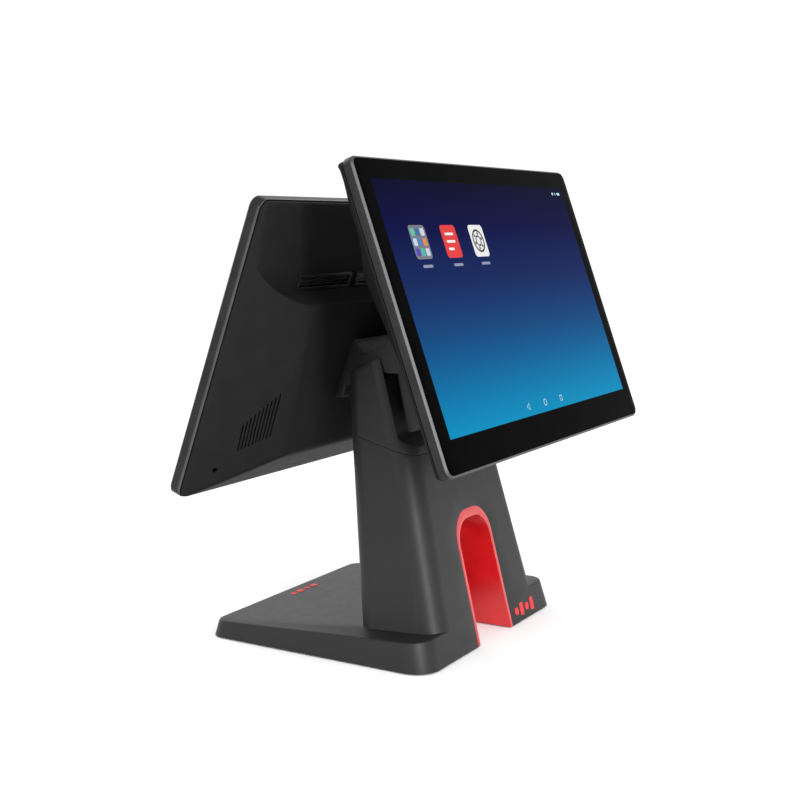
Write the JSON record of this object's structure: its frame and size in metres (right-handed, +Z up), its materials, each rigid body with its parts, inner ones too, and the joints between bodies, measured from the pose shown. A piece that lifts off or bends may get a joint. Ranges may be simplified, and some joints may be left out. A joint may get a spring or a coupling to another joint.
{
  "type": "pos touchscreen terminal",
  "caption": "Countertop point-of-sale terminal: a tilting operator touch display and a tilting customer display, back to back on a leaning pedestal with an arched cable tunnel.",
  "frame": {"origin": "on the counter, under the middle of the terminal's box", "axes": "+X to the operator's right, -Y towards the operator, +Z up"},
  "size_m": [0.3807, 0.2655, 0.3935],
  "materials": {
    "accent_red": "satin moulded red",
    "bezel_grey": "satin dark grey anodised look, bright edges",
    "board_green": "solder-masked board",
    "bright_steel": "machined bright steel",
    "button_plastic": "satin moulding",
    "cover_glass": "polished cover glass with a printed black border",
    "display_panel": "lit colour gradient with simple symbols",
    "grille_plastic": "fine moulded slats",
    "heat_sink": "extruded, clear anodised",
    "rubber_feet": "soft matt rubber",
    "shell_black": "smooth semi-gloss moulding",
    "socket_plastic": "moulded",
    "stand_black": "fine moulded grain, low sheen",
    "zinc_steel": "zinc-plated sheet"
  },
  "bodies": {
    "stand": {"base_plate": "zinc_steel", "base_plate_screws": "bright_steel", "customer_hinge_nuts": "bright_steel", "customer_hinge_shaft": "bright_steel", "customer_hinge_washers": "bright_steel", "foot_pads": "rubber_feet", "hinge_carrier": "zinc_steel", "hinge_carrier_bolts": "bright_steel", "main_hinge_nuts": "bright_steel", "main_hinge_shaft": "bright_steel", "main_hinge_washers": "bright_steel", "neck_cap": "stand_black", "neck_rear_cover": "stand_black", "stand_housing": "stand_black", "tunnel_liner": "accent_red", "upright_frame": "zinc_steel", "upright_frame_bolts": "bright_steel"},
    "main_display": {"main_bezel_frame": "bezel_grey", "main_chassis_plate": "zinc_steel", "main_cover_glass": "cover_glass", "main_cover_screws": "bright_steel", "main_heat_spreader": "heat_sink", "main_hinge_arm": "stand_black", "main_hinge_leaf": "zinc_steel", "main_hinge_screws": "bright_steel", "main_lcd_panel": "display_panel", "main_logic_board": "board_green", "main_port_panel": "bright_steel", "main_port_sockets": "socket_plastic", "main_rear_cover": "shell_black", "main_speakers": "socket_plastic", "main_vent_grilles": "grille_plastic"},
    "customer_display": {"customer_bezel_frame": "bezel_grey", "customer_chassis_plate": "zinc_steel", "customer_cover_glass": "cover_glass", "customer_cover_screws": "bright_steel", "customer_driver_board": "board_green", "customer_hinge_arm": "stand_black", "customer_hinge_leaf": "zinc_steel", "customer_hinge_screws": "bright_steel", "customer_lcd_panel": "display_panel", "customer_rear_cover": "shell_black", "customer_speakers": "socket_plastic", "customer_vent_grilles": "grille_plastic"},
    "power_key": {"power_button": "button_plastic"}
  },
  "joints": [
    {"name": "main_tilt", "type": "hinge", "parent": "stand", "child": "main_display", "pos_m": [0, -0.001, 0.2365], "axis": [-1, 0, 0], "range_deg": [-5, 12]},
    {"name": "customer_tilt", "type": "hinge", "parent": "stand", "child": "customer_display", "pos_m": [0, 0.018, 0.2345], "axis": [1, 0, 0], "range_deg": [-8, 8]},
    {"name": "power_press", "type": "slide", "parent": "main_display", "child": "power_key", "axis": [-1, 0, 0], "range_m": [0, 0.0008], "stiffness_N_per_m": 400}
  ]
}
